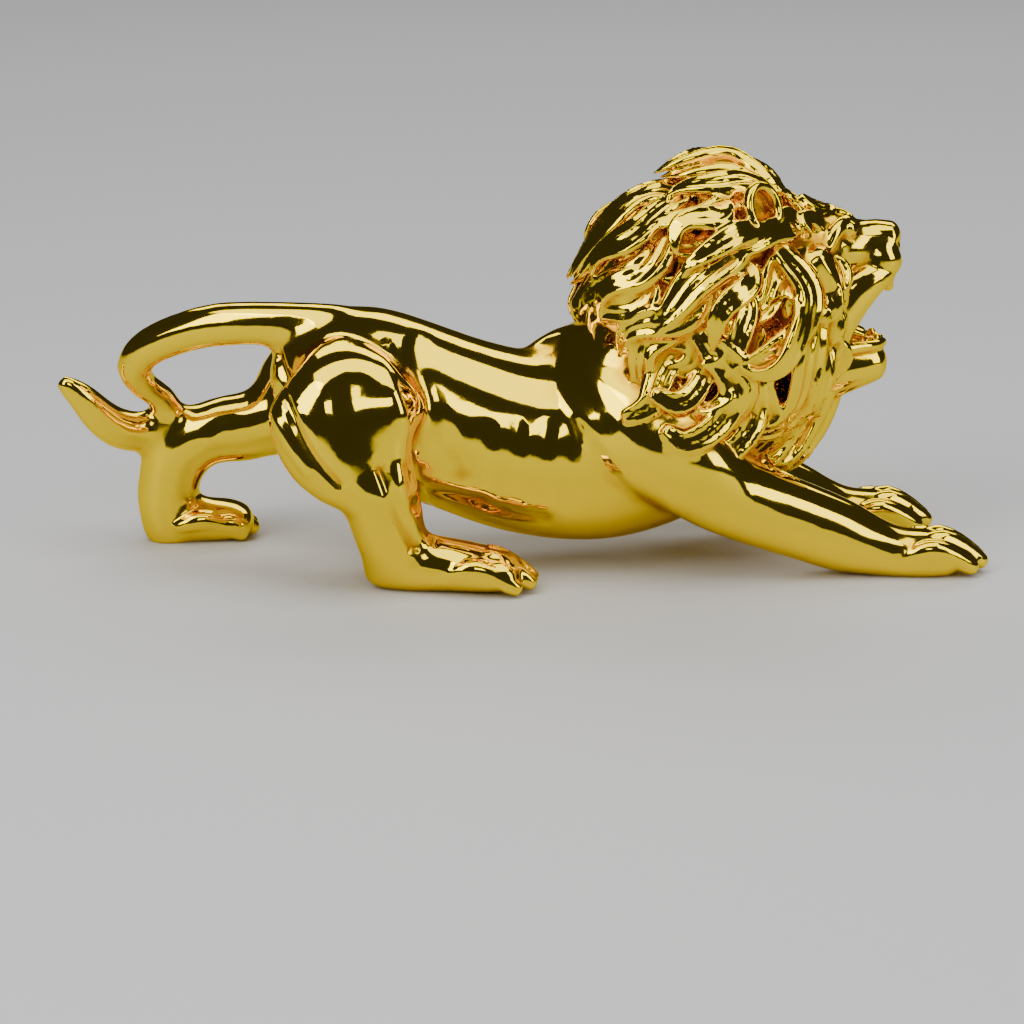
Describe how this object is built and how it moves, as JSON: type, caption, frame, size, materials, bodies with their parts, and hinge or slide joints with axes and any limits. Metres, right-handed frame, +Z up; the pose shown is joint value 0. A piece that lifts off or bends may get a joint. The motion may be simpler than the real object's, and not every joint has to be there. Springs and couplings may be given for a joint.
{
  "type": "lion ornament",
  "caption": "Stalking lion ornament, cast in one piece and plated in bright gold: forepaws stretched out, roaring head in a curled mane, tail carried back in a loop.",
  "frame": {"origin": "middle of the box's underside, on the surface that the paws stand on", "axes": "+X from the tail to the muzzle, +Z up; the lion's right side, which the picture shows, is -Y"},
  "size_m": [0.3, 0.0906, 0.1356],
  "materials": {
    "gold_plating": "bright mirror-polished gold plating over a resin casting"
  },
  "bodies": {
    "root": {"lion": "gold_plating"}
  },
  "joints": []
}
